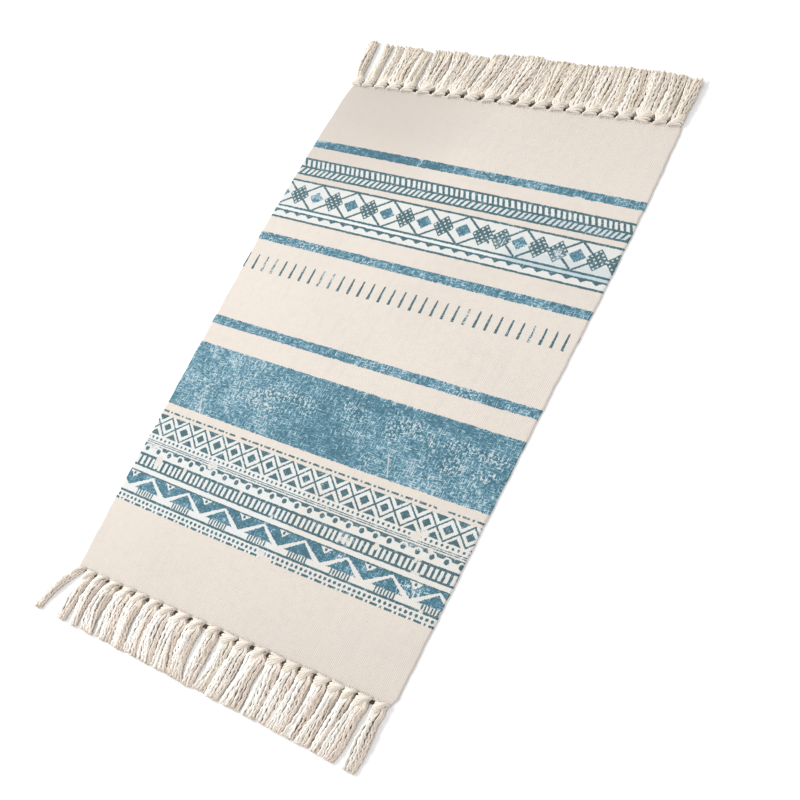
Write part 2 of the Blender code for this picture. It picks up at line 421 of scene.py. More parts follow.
FRINGES = [Fringe(*row) for row in (
    ("fringe_near", -1, -0.3005, 0.2930, 0.079, 0.090, 0.33, 1.75, 1.0, 1.0),
    ("fringe_far", 1, -0.3005, 0.3020, 0.084, 0.084, 0.68, 0.50, 0.4, 1.12),
)]
TASSELS = {
    "fringe_near": [Tassel(*row) for row in (
        (-0.2905, -0.319, -0.334, 0.021, 0.000),
        (-0.2690, -0.277, -0.278, 0.023, 0.000),
        (-0.2440, -0.254, -0.250, 0.020, 0.000),
        (-0.2150, -0.227, -0.222, 0.028, 0.000),
        (-0.1870, -0.190, -0.185, 0.038, -0.001),
        (-0.1600, -0.164, -0.155, 0.029, 0.000),
        (-0.1300, -0.133, -0.125, 0.030, -0.001),
        (-0.1020, -0.107, -0.098, 0.031, 0.000),
        (-0.0730, -0.075, -0.063, 0.036, 0.000),
        (-0.0430, -0.046, -0.034, 0.029, 0.000),
        (-0.0130, -0.012, -0.011, 0.025, 0.001),
        (0.0170, 0.019, 0.011, 0.027, -0.001),
        (0.0460, 0.042, 0.036, 0.029, 0.001),
        (0.0760, 0.073, 0.070, 0.036, 0.000),
        (0.1040, 0.108, 0.105, 0.030, 0.000),
        (0.1320, 0.134, 0.131, 0.028, -0.001),
        (0.1590, 0.159, 0.154, 0.028, 0.000),
        (0.1850, 0.186, 0.179, 0.027, 0.000),
        (0.2100, 0.207, 0.201, 0.024, 0.000),
        (0.2320, 0.228, 0.222, 0.022, 0.000),
        (0.2550, 0.250, 0.245, 0.027, 0.001),
        (0.2825, 0.281, 0.281, 0.024, 0.001),
    )],
    "fringe_far": [Tassel(*row) for row in (
        (-0.2905, -0.301, -0.305, 0.020, 0.003),
        (-0.2690, -0.268, -0.272, 0.022, -0.001),
        (-0.2430, -0.242, -0.246, 0.022, -0.002),
        (-0.2150, -0.217, -0.219, 0.038, -0.001),
        (-0.1870, -0.189, -0.190, 0.024, -0.007),
        (-0.1550, -0.152, -0.158, 0.038, -0.002),
        (-0.1240, -0.120, -0.125, 0.029, 0.000),
        (-0.0940, -0.090, -0.085, 0.038, -0.005),
        (-0.0620, -0.051, -0.049, 0.036, 0.002),
        (-0.0300, -0.020, -0.014, 0.033, 0.004),
        (0.0000, 0.013, 0.012, 0.034, 0.006),
        (0.0330, 0.045, 0.046, 0.034, 0.000),
        (0.0640, 0.069, 0.070, 0.033, 0.001),
        (0.0950, 0.098, 0.099, 0.033, -0.001),
        (0.1240, 0.128, 0.122, 0.033, 0.000),
        (0.1520, 0.155, 0.150, 0.032, 0.002),
        (0.1800, 0.182, 0.175, 0.032, 0.003),
        (0.2080, 0.208, 0.202, 0.033, 0.002),
        (0.2380, 0.238, 0.231, 0.034, 0.002),
        (0.2670, 0.266, 0.261, 0.030, 0.000),
        (0.2900, 0.291, 0.288, 0.024, -0.004),
    )],
}


def centre_line(tassel, share):
    """A tassel's middle at some share of its length, on a curve through root, bend and tip."""
    at_root = tassel.root * (1 - share) * (1 - 2 * share)
    at_bend = tassel.bend * 4 * share * (1 - share)
    at_tip = tassel.tip * share * (2 * share - 1)
    return at_root + at_bend + at_tip


def edge_shares(fringe):
    """How much of the cloth's edge each tassel gathers."""
    tassels = TASSELS[fringe.name]
    between = [(a.root + b.root) / 2 for a, b in zip(tassels, tassels[1:])]
    return list(zip([fringe.left_end] + between, between + [fringe.right_end]))


for fringe in FRINGES:
    print(fringe.name, "has", len(TASSELS[fringe.name]), "tassels")

# %% [markdown]
# ## Yarns of a tassel
#
# The warp yarns leave the cloth side by side, gather in two layers through the knot, and
# then fan out over the floor. The lower layer lies close, yarn by yarn. The upper layer
# falls into clumps of two or three, and the lower one shows darkly through the slits
# between them. A few yarns ride on top and cross the others. Hair particles could do this
# too, but they would give no say in how each tassel lies.

# %% Yarns of a tassel
PARTING = 0.0040
LOWER_LANE = 0.0048
UPPER_LANE = 0.0030
NECK_ROOM = 0.0270
NECK_SPREAD = 0.97
LOWER_THICKER = 1.35
THICKNESS_PLAY = (0.96, 1.26)
TONE_PLAY = 0.28
RIDERS = 3
RIDER_PLAY = 0.35
RIDER_LIFT = 0.0016
CLUMP = 2.6
CLUMP_PULL = 0.30
# A tassel's yarns sway together, and each one wanders a little by itself.
SWAY = 0.0017
SWAY_ACROSS = 5
SWAY_ALONG = 4
WANDER = 0.0012
WANDER_ALONG = 7
LOWER_CROWN = 0.5
CUT_UNEVEN = 0.0018
FANNED_BY = 0.8

# Each row is a place on the yarn's way out: its distance from the cloth's edge, how wide
# the gathered yarns are there, and how high the lower and the upper layer lie.
Gather = namedtuple("Gather", "out width low high")
GATHERS = [Gather(*row) for row in (
    (-0.0024, None, 0.0012, 0.0012),
    (0.0002, None, 0.0012, 0.0012),
    (0.0030, 0.0200, 0.0018, 0.0034),
    (0.0080, 0.0185, 0.0022, 0.0056),
    (0.0150, 0.0210, 0.0020, 0.0054),
)]
# Past the knot: the share of the free length, the height of the two layers, and how far
# the middle of the tassel stands above its sides.
Fan = namedtuple("Fan", "share low high crown")
FANS = [Fan(*row) for row in (
    (0.15, 0.0019, 0.0047, 0.0026),
    (0.45, 0.0019, 0.0042, 0.0021),
    (0.75, 0.0019, 0.0038, 0.0014),
    (1.00, 0.0019, 0.0034, 0.0006),
)]


def tassel_lanes(width, chance):
    """For each yarn of a tassel: its lane, its layer, and how far it drifts across."""
    lower = max(3, round(width / LOWER_LANE))
    upper = max(3, round(width / UPPER_LANE))
    clumps = max(2, round(upper / CLUMP))
    lanes = [((number + 0.5) / lower - 0.5, 0, 0.0) for number in range(lower)]
    for number in range(upper):
        lane = (number + 0.5) / upper - 0.5
        clump = (int((lane + 0.5) * clumps) + 0.5) / clumps - 0.5
        lanes.append((lane + (clump - lane) * CLUMP_PULL, 1, 0.0))
    for _ in range(RIDERS):
        lanes.append((chance.uniform(-RIDER_PLAY, RIDER_PLAY), 2, chance.uniform(-RIDER_PLAY, RIDER_PLAY)))
    return lanes


def yarn_tone(fringe, lane, chance):
    """From nought, pale, to one, warm grey: it varies at random from yarn to yarn, and across the tassel as
    painted light, pale on the side towards the lamp and grey on the shaded side.
    """
    return min(1.0, max(0.0, fringe.tone + fringe.slope * lane + chance.uniform(-TONE_PLAY, TONE_PLAY)))


def lay_tassel(heap, fringe, tassel, share_of_edge, reach, chance):
    """All the yarns of one tassel."""
    start, end = share_of_edge
    edge_middle = (start + end) / 2
    room = min(1.0, (end - start) / NECK_ROOM)
    neck = GATHERS[-1]
    neck_width = max(neck.width, tassel.spread * NECK_SPREAD) * room
    slow = chance.uniform(*ANY_ANGLE)
    for lane, layer, drift in tassel_lanes((tassel.spread + neck_width) / 2, chance):
        fuller = fringe.full if layer else LOWER_THICKER
        thickness = YARN_THICKNESS * chance.uniform(*THICKNESS_PLAY) * fuller
        yarn_reach = reach + chance.uniform(-CUT_UNEVEN, CUT_UNEVEN)
        own = chance.uniform(*ANY_ANGLE)
        upper = min(layer, 1)
        places = []
        for row in GATHERS:
            gathered = row.width is not None
            width = row.width * room if gathered else end - start - PARTING
            width = neck_width if row is neck else width
            middle = centre_line(tassel, row.out / reach) if gathered else edge_middle
            places.append((middle + lane * width, row.out, row.low + (row.high - row.low) * upper))
        for row in FANS:
            out = neck.out + row.share * (yarn_reach - neck.out)
            width = neck_width + (tassel.spread - neck_width) * min(1, row.share / FANNED_BY) - thickness
            sway = SWAY * math.sin(slow + SWAY_ACROSS * lane + SWAY_ALONG * row.share)
            sway = sway + WANDER * math.sin(own + WANDER_ALONG * row.share)
            lift = RIDER_LIFT if layer == 2 else 0
            crown = row.crown * (1 - 4 * lane * lane) * (1 if upper else LOWER_CROWN)
            height = row.low + (row.high - row.low) * upper + crown + lift
            across = centre_line(tassel, out / reach) + (lane + drift * row.share) * width
            places.append((across + sway * min(1, 2 * row.share), out, max(height, thickness / 2)))
        route = [(x, fringe.outward * (CLOTH_END + out), z) for x, out, z in places]
        path = crimped(smooth_path(route, UPPER_STEP if layer else LOWER_STEP), thickness, chance)
        heap.add(path, thickness, chance, yarn_tone(fringe, lane, chance), chance.random() * fringe.rosy)


def lay_fringe(fringe):
    """The loose yarns of one whole fringe."""
    chance = random.Random(fringe.name)
    heap = YarnHeap()
    tassels = TASSELS[fringe.name]
    longer = (fringe.right_reach - fringe.left_reach) / (len(tassels) - 1)
    for number, (tassel, share) in enumerate(zip(tassels, edge_shares(fringe))):
        reach = fringe.left_reach + longer * number + tassel.uneven
        lay_tassel(heap, fringe, tassel, share, reach, chance)
    return heap.make(fringe.name.replace("fringe", "yarns"))


yarns = {fringe.name: lay_fringe(fringe) for fringe in FRINGES}

# %% [markdown]
# ## Knots
#
# Each bunch is tied in an overhand knot, pushed up against the cloth. From above, a knot
# is a round lump with a few fat turns of yarn slanting over it, and a deep little hole
# beside it. The true path of the knot would hide most of its length inside, so only the
# turns are made: closed loops around the bunch, each tilted, the middle ones wider and
# higher than the outer ones. Tied the same way from both ends, the knots of the two
# fringes slant as if one fringe were the other turned half round.

# %% Knots
Turn = namedtuple("Turn", "out tilt across height thickness")
TURNS = [Turn(*row) for row in (
    (0.0014, 6, 0.0100, 0.0020, 0.0044),
    (0.0036, 20, 0.0112, 0.0031, 0.0050),
    (0.0060, 32, 0.0119, 0.0036, 0.0052),
    (0.0086, 42, 0.0116, 0.0032, 0.0050),
    (0.0112, 50, 0.0102, 0.0024, 0.0046),
)]
KNOT_MIDDLE = 0.0044
KNOT_ROOM = 0.0275
TILT_PLAY = 13
SIZE_PLAY = (0.93, 1.07)
TURN_PLAY = (0.93, 1.06)
TURN_POINTS = 26
TURN_SIDES = 10
TURN_PLIES = 3

# Three yarns of the last weft cross the gap between two knots, and the outer two are painted
# near black as shade: the share of the way across, the distance from the cloth's edge, the height.
TUCKS = (((0.20, 0.0000, 0.0022), (0.50, 0.0004, 0.0022), (0.80, 0.0000, 0.0022)),
         ((0.20, 0.0026, 0.0019), (0.50, 0.0034, 0.0019), (0.80, 0.0026, 0.0019)),
         ((0.20, 0.0052, 0.0018), (0.50, 0.0062, 0.0018), (0.80, 0.0052, 0.0018)))
TUCK_THICKER = 1.1
TUCK_TONE = 0.9
TUCK_PAINTED_SHADES = (0.0, 0.97, 0.97)
KNOT_TONE = (0.55, 0.85)
KNOT_ROSY = 0.2


def tie_knot(heap, fringe, tassel, room, chance):
    """The turns of yarn around one tassel."""
    around = np.linspace(0, 2 * math.pi, TURN_POINTS, endpoint=False)
    play = chance.uniform(-TILT_PLAY, TILT_PLAY)
    size = room * chance.uniform(*SIZE_PLAY)
    for turn in TURNS:
        tilt = math.radians(turn.tilt + play)
        thickness = turn.thickness * chance.uniform(*TURN_PLAY)
        across = turn.across * size * np.cos(around)
        out = np.maximum(turn.out + across * math.sin(tilt), 0.0)
        path = np.column_stack((
            centre_line(tassel, turn.out / fringe.left_reach) + fringe.outward * across * math.cos(tilt),
            fringe.outward * (CLOTH_END + out),
            np.maximum(KNOT_MIDDLE + turn.height * np.sin(around), thickness / 2),
        ))
        facing = np.array((-math.sin(tilt), math.cos(tilt), 0.0))
        heap.add(path, thickness, chance, chance.uniform(*KNOT_TONE), KNOT_ROSY, facing, True,
                 TURN_SIDES, TURN_PLIES)


def tuck_yarns(heap, fringe, left, right, chance):
    """The yarns deep in the hole between two knots, two of them painted near black as shade."""
    for tuck, deep in zip(TUCKS, TUCK_PAINTED_SHADES):
        route = [(left.root + (right.root - left.root) * share, fringe.outward * (CLOTH_END + out), z)
                 for share, out, z in tuck]
        heap.add(smooth_path(route, UPPER_STEP), YARN_THICKNESS * TUCK_THICKER, chance, TUCK_TONE, deep=deep)


def tie_knots(fringe):
    """The knots of one fringe."""
    chance = random.Random(fringe.name + " knots")
    heap = YarnHeap()
    tassels = TASSELS[fringe.name]
    for tassel, (start, end) in zip(tassels, edge_shares(fringe)):
        tie_knot(heap, fringe, tassel, min(1.0, (end - start) / KNOT_ROOM), chance)
    for left, right in zip(tassels, tassels[1:]):
        tuck_yarns(heap, fringe, left, right, chance)
    return heap.make(fringe.name.replace("fringe", "knots"))


knots = {fringe.name: tie_knots(fringe) for fringe in FRINGES}

# %% [markdown]
# ## Working out a surface point by point
#
# A material's nodes are arithmetic that Blender does at every point of a surface. Wiring
# hundreds of Math nodes by hand is hard to read, so this small helper lets us write the
# arithmetic as plain Python, and it sets the nodes for us.

# %% Working out a surface point by point
def feed(tree, socket, thing):
    """Give a node's socket a number, a colour, or what another node works out."""
    if isinstance(thing, (int, float)):
        socket.default_value = thing
    elif isinstance(thing, tuple):
        socket.default_value = (*thing, 1.0)
    else:
        tree.links.new(getattr(thing, "socket", thing), socket)


class Reading:
    """A number that is read at every point of a surface."""

    def __init__(self, tree, socket):
        self.tree = tree
        self.socket = socket

    def math(self, operation, *others):
        """Set one Math node on this reading and others."""
        node = self.tree.nodes.new("ShaderNodeMath")
        node.operation = operation
        for socket, thing in zip(node.inputs, (self, *others)):
            feed(self.tree, socket, thing)
        return Reading(self.tree, node.outputs[0])

    # Plain arithmetic.
    __add__ = __radd__ = partialmethod(math, "ADD")
    __sub__ = partialmethod(math, "SUBTRACT")
    __mul__ = __rmul__ = partialmethod(math, "MULTIPLY")
    __truediv__ = partialmethod(math, "DIVIDE")
    __neg__ = partialmethod(math, "MULTIPLY", -1.0)
    __abs__ = partialmethod(math, "ABSOLUTE")
    sine = partialmethod(math, "SINE")
    cosine = partialmethod(math, "COSINE")
    root = partialmethod(math, "SQRT")
    # The smaller of two distances is both shapes joined, the larger is where they overlap.
    smaller = partialmethod(math, "MINIMUM")
    larger = partialmethod(math, "MAXIMUM")
    # One above a level, else nought; the whole number below; what is left past a multiple.
    above = partialmethod(math, "GREATER_THAN")
    whole = partialmethod(math, "FLOOR")
    remainder = partialmethod(math, "FLOORED_MODULO")

    def __rsub__(self, other):
        return -self + other

    def from_nearest(self, start, pitch):
        """The signed distance from the nearest of a row of places."""
        return (self + (pitch / 2 - start)).remainder(pitch) - pitch / 2

    def nearest(self, start, pitch):
        """The number of the nearest of a row of places."""
        return ((self - start) / pitch + 0.5).whole()

    def fade(self, low, high):
        """Nought below low, one above high, and a soft step between."""
        node = self.tree.nodes.new("ShaderNodeMapRange")
        node.interpolation_type = "SMOOTHSTEP"
        self.tree.links.new(self.socket, node.inputs["Value"])
        node.inputs["From Min"].default_value = low
        node.inputs["From Max"].default_value = high
        return Reading(self.tree, node.outputs["Result"])


def start_material(name):
    """A material with an empty tree but for its shader, and that shader."""
    material = bpy.data.materials.new(name)
    material.use_nodes = True
    return material, material.node_tree, material.node_tree.nodes["Principled BSDF"]


def read_place(tree):
    """The place of a point on the mat, in metres: across, along and up."""
    coordinates = tree.nodes.new("ShaderNodeTexCoord")
    parts = tree.nodes.new("ShaderNodeSeparateXYZ")
    tree.links.new(coordinates.outputs["Object"], parts.inputs[0])
    return [Reading(tree, parts.outputs[axis]) for axis in range(3)]


def read_stored(tree, name):
    """A number that was stored with the mesh."""
    node = tree.nodes.new("ShaderNodeAttribute")
    node.attribute_name = name
    return Reading(tree, node.outputs["Fac"])


def pack_vector(place):
    """Two or three readings or numbers, the first of them a reading, as one vector."""
    tree = place[0].tree
    node = tree.nodes.new("ShaderNodeCombineXYZ")
    for socket, part in zip(node.inputs, place):
        feed(tree, socket, part)
    return node.outputs[0]


def cloud(place, scale=1.0, detail=2.0, rough=0.5):
    """Soft random patches, from nought to one."""
    tree = place[0].tree
    node = tree.nodes.new("ShaderNodeTexNoise")
    feed(tree, node.inputs["Vector"], pack_vector(place))
    node.inputs["Scale"].default_value = scale
    node.inputs["Detail"].default_value = detail
    node.inputs["Roughness"].default_value = rough
    return Reading(tree, node.outputs["Fac"])


def lot(place):
    """An even random number for each different place."""
    tree = place[0].tree
    node = tree.nodes.new("ShaderNodeTexWhiteNoise")
    feed(tree, node.inputs["Vector"], pack_vector(place))
    return Reading(tree, node.outputs["Value"])


def blend(share, first, second):
    """A colour between two others; each is a colour's numbers or a socket."""
    node = share.tree.nodes.new("ShaderNodeMix")
    node.data_type = "RGBA"
    for socket, thing in ((node.inputs["Factor"], share), (node.inputs[6], first), (node.inputs[7], second)):
        feed(share.tree, socket, thing)
    return node.outputs[2]


def emboss(shader, height, depth):
    """Let a height in shares of a depth shape the light on a surface."""
    node = height.tree.nodes.new("ShaderNodeBump")
    node.inputs["Distance"].default_value = depth
    node.inputs["Strength"].default_value = 1.0
    feed(height.tree, node.inputs["Height"], height)
    feed(height.tree, shader.inputs["Normal"], node.outputs[0])


def added(parts):
    """Several readings added up."""
    return reduce(Reading.__add__, parts)


print("arithmetic for materials:", sorted(name for name in vars(Reading) if not name.startswith("_")))

# %% [markdown]
# ## The weave
#
# In a plain weave every weft thread goes over one warp thread and under the next. Two
# cosines, one across and one along, multiply to a number that changes sign from one
# crossing to the next, and that is just what says which thread is on top. The threads
# are far too many to model one by one, so the weave is a bump. Slow noise, stretched
# along each thread, gives the slubs and the uneven spacing of hand-spun cotton.

# %% The weave
WARP_PITCH = 0.0027
WEFT_PITCH = 0.0021
WEAVE_DEPTH = 0.0005
THREAD_DRIFT = 0.0006
# How often noise changes in a metre: along a thread and across it, and in its slubs.
DRIFT_ALONG = 9
DRIFT_ACROSS = 60
SLUBS = 45
SLUB_MUCH = 0.9


def weave(x, y):
    """The height of the weave, and a tone for each thread, both about nought to one.

    The last number of each place is there so that no two noises are alike.
    """
    drift_x = cloud((x * DRIFT_ACROSS, y * DRIFT_ALONG, 3.0), detail=1.0) - 0.5
    drift_y = cloud((x * DRIFT_ALONG, y * DRIFT_ACROSS, 8.0), detail=1.0) - 0.5
    warp_wave = ((x + drift_x * THREAD_DRIFT) * (math.pi / WARP_PITCH)).cosine()
    weft_wave = ((y + drift_y * THREAD_DRIFT) * (math.pi / WEFT_PITCH)).cosine()
    on_top = warp_wave * weft_wave
    warp_slub = cloud((x * (1 / WARP_PITCH), y * SLUBS, 1.0), detail=1.0)
    weft_slub = cloud((x * SLUBS, y * (1 / WEFT_PITCH), 5.0), detail=1.0)
    warp = abs(warp_wave) * (on_top * 0.5 + 0.5) * (warp_slub * SLUB_MUCH + 0.5)
    weft = abs(weft_wave) * (0.5 - on_top * 0.5) * (weft_slub * SLUB_MUCH + 0.5)
    tone = warp_slub * 0.5 + weft_slub * 0.5
    return warp.larger(weft), tone


# %% [markdown]
# ## Cream cotton
#
# Unbleached cotton is a warm cream. It isn't one flat colour: thick threads catch more
# light, so thin places and the hollows of the weave are painted darker as shade, and slow
# patches run a little greyer or warmer. The ends of the cloth are painted duller too, as
# shade where less light falls. A faint sheen gives the soft bloom that cotton has at a slant.

# %% Cream cotton
CREAM = (0.688, 0.626, 0.566)
CREAM_GREY = (0.590, 0.540, 0.492)
# The next two creams are painted shade: in the hollows of the weave, and at the cloth's ends.
CREAM_HOLLOW_SHADE = (0.495, 0.430, 0.370)
CREAM_END_SHADE = (0.480, 0.432, 0.388)
PATCH_SHARE = 0.30
PATCH_STEP = (0.35, 0.75)
STREAK_SHARE = 0.22
STREAK_STEP = (0.45, 0.8)
STREAKS_ACROSS = 150
STREAKS_ALONG = 12
MOTTLE_SHARE = 0.8
HOLLOW_LEVEL = 0.42
HOLLOW_MUCH = 1.6
HOLLOW_FULL = 1.4
THIN_THREAD_MUCH = 0.5
COTTON_ROUGH = 0.92
COTTON_SHINE = 0.25
COTTON_SHEEN = 0.12
SHEEN_ROUGH = 0.5

# Noise over the cloth: how often it changes in a metre, its detail, its roughness, and
# a number of its own, so that no two are alike.
Noise = namedtuple("Noise", "scale detail rough own")
CREAM_PATCHES = Noise(7.0, 3.0, 0.50, 2.0)
CREAM_MOTTLE = Noise(85.0, 2.0, 0.50, 6.0)

# Places on the cloth: across, along, half width, half length, how much. The first list
# is painted shade: the cloth's ends, one far corner most, are painted duller as less light falls there.
Place = namedtuple("Place", "x y wide long much")
END_SHADE_PLACES = [Place(*row) for row in (
    (-0.30, 0.44, 0.30, 0.26, 0.66),
    (0.05, 0.45, 0.40, 0.16, 0.20),
    (-0.10, -0.46, 0.44, 0.20, 0.22),
    (0.26, -0.44, 0.20, 0.16, 0.16),
)]


def by_place(x, y, places):
    """How strong a set of places is at a point. Each one fades from its middle outwards."""
    patches = []
    for place in places:
        dx = (x - place.x) / place.wide
        dy = (y - place.y) / place.long
        patches.append((1.0 - (dx * dx + dy * dy)).larger(0.0) * place.much)
    return added(patches)


def over_cloth(x, y, noise):
    """Noise that is the same in both directions of the cloth."""
    return cloud((x, y, noise.own), noise.scale, noise.detail, noise.rough)


def cream_cotton(x, y):
    """The cream of the unprinted cloth, and its weave."""
    height, tone = weave(x, y)
    patches = over_cloth(x, y, CREAM_PATCHES).fade(*PATCH_STEP)
    mottle = over_cloth(x, y, CREAM_MOTTLE) - 0.5
    streaks = cloud((x * STREAKS_ACROSS, y * STREAKS_ALONG, 4.0)).fade(*STREAK_STEP)
    greyer = patches * PATCH_SHARE + streaks * STREAK_SHARE + mottle * MOTTLE_SHARE
    # Towards the cloth's ends the cream is painted duller: painted shade where less light falls.
    with_end_shade = blend(by_place(x, y, END_SHADE_PLACES), blend(greyer, CREAM, CREAM_GREY), CREAM_END_SHADE)
    # Thin places of the threads and the hollows of the weave are painted darker: painted shade.
    hollow_and_thin_thread_shade = (HOLLOW_LEVEL - height) * HOLLOW_MUCH + (0.5 - tone) * THIN_THREAD_MUCH
    return blend(hollow_and_thin_thread_shade.fade(0.0, HOLLOW_FULL), with_end_shade, CREAM_HOLLOW_SHADE), height


def finish_cotton(shader, colour, height, depth):
    """The dull, slightly downy surface that all the cotton shares."""
    feed(height.tree, shader.inputs["Base Color"], colour)
    emboss(shader, height, depth)
    shader.inputs["Roughness"].default_value = COTTON_ROUGH
    shader.inputs["Specular IOR Level"].default_value = COTTON_SHINE
    shader.inputs["Sheen Weight"].default_value = COTTON_SHEEN
    shader.inputs["Sheen Roughness"].default_value = SHEEN_ROUGH


def plain_cloth():
    """The unprinted underside."""
    material, tree, shader = start_material("plain_cotton")
    x, y, _ = read_place(tree)
    colour, height = cream_cotton(x, y)
    finish_cotton(shader, colour, height, WEAVE_DEPTH)
    return material


underside = plain_cloth()
print("underside has", len(underside.node_tree.nodes), "nodes")

# %% [markdown]
# ## Shapes for the print
#
# Each block of the border is a simple shape, and every shape here is a distance: less
# than nought inside it, more than nought outside, in metres. Distances are easy to
# join. The smaller of two is both shapes, the larger is where they overlap, and a bit of
# noise added to one roughens its edge as thin ink on a weave does.

# %% Shapes for the print
def joined(*shapes):
    """Several shapes as one."""
    return reduce(Reading.smaller, shapes)


def stripe(v, low, high):
    """A band between two heights."""
    return abs(v - (low + high) / 2) - (high - low) / 2


def rules(v, width, *heights):
    """Thin lines at one or more heights."""
    return joined(*[abs(v - at) for at in heights]) - width / 2


def bars(u, start, pitch, width):
    """Upright bars in a row."""
    return abs(u.from_nearest(start, pitch)) - width / 2


def diamond(dx, dv, half_width, half_height):
    """A diamond about a point."""
    slope = half_width * half_height / math.hypot(half_width, half_height)
    return (abs(dx) / half_width + abs(dv) / half_height - 1.0) * slope


def spot(dx, dv, radius):
    """A round dot."""
    return (dx * dx + dv * dv).root() - radius


def wedge(dx, height, half_base, tall):
    """A triangle on its base: height is measured from the base to the point."""
    slope = half_base * tall / math.hypot(half_base, tall)
    side = (abs(dx) / half_base + height / tall - 1.0) * slope
    return side.larger(-height)


def dash_dot(u, start, period, dash, dot):
    """A dash and a dot in turn, along a row."""
    return bars(u, start, period, dash).smaller(bars(u, start + period / 2, period, dot))


ASKEW = 0.011
ASKEW_MORE = 0.013
PRINT_WIDTH = 0.6
SAG = 0.0006
SAG_LESS = 0.0035


def printed_height(x, y):
    """Height in the print, which was laid slightly askew and sagging on the cloth."""
    slant = (y * ASKEW_MORE + ASKEW) / PRINT_WIDTH
    bow = 1.0 - x * x / (PRINT_WIDTH / 2) ** 2
    return y + slant * x + (SAG - y * SAG_LESS) * bow


print("shapes: stripe, rules, bars, diamond, spot, wedge and dash_dot")

# %% [markdown]
# ## Herringbone
#
# The borders are printed row by row, from the far end. After a solid stripe comes a
# herringbone: two rows of slanting strokes between three lines. Bars lean when the
# height is added to the place across. Hand blocks never stand quite evenly, so a slow
# sine moves them a little off their places.

# %% Herringbone
LINE = 0.0033
STROKE = 0.0046
HERRING_LINES = (0.2850, 0.2702, 0.2568)
HERRING_CLOSER = 0.17
HERRING_WOBBLE = (93.0, 0.0011)

# Rows of slanting strokes: from and to along the mat, their lean, and where they start and
# how far apart they are.
Strokes = namedtuple("Strokes", "low high lean start pitch")
HERRINGBONE = [Strokes(*row) for row in (
    (0.2702, 0.2850, 0.50, -0.2420, 0.01035),
    (0.2568, 0.2702, -0.62, -0.2400, 0.01040),
)]


def closer(x, much):
    """The blocks to the right of the middle were set closer and closer together."""
    right = x.larger(0.0)
    return x + right * right * much


def wobble(x, turns, much):
    """How far the blocks stand off their even places, now to one side, now to the other."""
    return (x * turns).sine() * much


def herringbone(x, v):
    """Two rows of slanting strokes, one leaning each way, between three lines."""
    off = closer(x, HERRING_CLOSER) + wobble(x, *HERRING_WOBBLE)
    rows = [rules(v, LINE, *HERRING_LINES)]
    for row in HERRINGBONE:
        leaning = off + (v - (row.low + row.high) / 2) * row.lean
        rows.append(bars(leaning, row.start, row.pitch, STROKE).larger(stripe(v, row.low, row.high)))
    return joined(*rows)


print("herringbone strokes every", HERRINGBONE[0].pitch, "m")

# %% [markdown]
# ## Lattice and solid diamonds
#
# Below the herringbone, lattice diamonds and solid ones take turns, and a thin outline
# goes around each solid one. The printer changed to other blocks right of the middle,
# and there the row has its own repeat. So both rows are worked out, and the place on
# the cloth picks one. A shape that isn't wanted is pushed far away.

# %% Lattice and solid diamonds
LATTICE_BAND = (0.1960, 0.2446)
LATTICE_MIDDLE = 0.2203
LATTICE_CHANGE = 0.097
# Each repeat is where it starts and how far apart its shapes are.
LEFT_REPEAT = (-0.282, 0.0363)
RIGHT_REPEAT = (0.113, 0.0323)
LEFT_FRAMES = (LEFT_REPEAT[0] + LEFT_REPEAT[1], 2 * LEFT_REPEAT[1])
RIGHT_FRAMES = (0.147, 0.0945)
# Each diamond is half its width and half its height.
LATTICE = (0.0196, 0.0182)
SOLID = (0.0144, 0.0110)
LEFT_FRAME = (0.0363, 0.0240)
RIGHT_FRAME = (0.0330, 0.0235)
HOLE_PITCH = 0.5
LATTICE_BAR = 0.148
BAR_SLOPE = 0.013
FAR = 0.05


def lattice(dx, dv):
    """A diamond of crossing lines with four rows of holes."""
    across, up = dx / LATTICE[0], dv / LATTICE[1]
    from_bar = joined(*[abs(way.from_nearest(0.0, HOLE_PITCH)) for way in (across + up, across - up)])
    return diamond(dx, dv, *LATTICE).larger((from_bar - LATTICE_BAR) * BAR_SLOPE)


def lattice_row(x, v):
    """Lattice diamonds and solid diamonds in turn, each solid one in a thin outline."""
    dv = v - LATTICE_MIDDLE
    on_right = x.above(LATTICE_CHANGE)
    left_x = x.from_nearest(*LEFT_REPEAT)
    dx = left_x + (x.from_nearest(*RIGHT_REPEAT) - left_x) * on_right
    left_solid = x.nearest(*LEFT_REPEAT).remainder(2.0)
    right_solid = 1.0 - (x.nearest(*RIGHT_REPEAT) - 1.0).remainder(3.0).smaller(1.0)
    solid = left_solid + (right_solid - left_solid) * on_right
    crossed = lattice(dx, dv) + solid * FAR
    filled = diamond(dx, dv, *SOLID) + (1.0 - solid) * FAR
    left_frame = abs(diamond(x.from_nearest(*LEFT_FRAMES), dv, *LEFT_FRAME)) + on_right * FAR
    right_frame = abs(diamond(x.from_nearest(*RIGHT_FRAMES), dv, *RIGHT_FRAME)) + (1.0 - on_right) * FAR
    row = crossed.smaller(left_frame.smaller(right_frame) - LINE / 2).larger(stripe(v, *LATTICE_BAND))
    return row.smaller(rules(v, LINE, *LATTICE_BAND)), filled


print("lattice diamonds every", LEFT_REPEAT[1], "m")

# %% [markdown]
# ## Hanging triangles and upright dashes
#
# The upper borders end with a line that has small triangles hanging from it, a stripe,
# and a row of upright dashes, which are a little wider at the foot.

# %% Hanging triangles and upright dashes
HANGING_TOP = 0.1883
HANGING_LINE = 0.0028
HANGING_REPEAT = (-0.1918, 0.0241)
HANGING = (0.0100, 0.0062)
UNDER_HANGING = 0.1755
DASH_SPAN = (0.0784, 0.1047)
DASH_REPEAT = (-0.1938, 0.0199)
DASH_CLOSER = 0.19
DASH_HALF = 0.0014
DASH_FLARE = 0.042


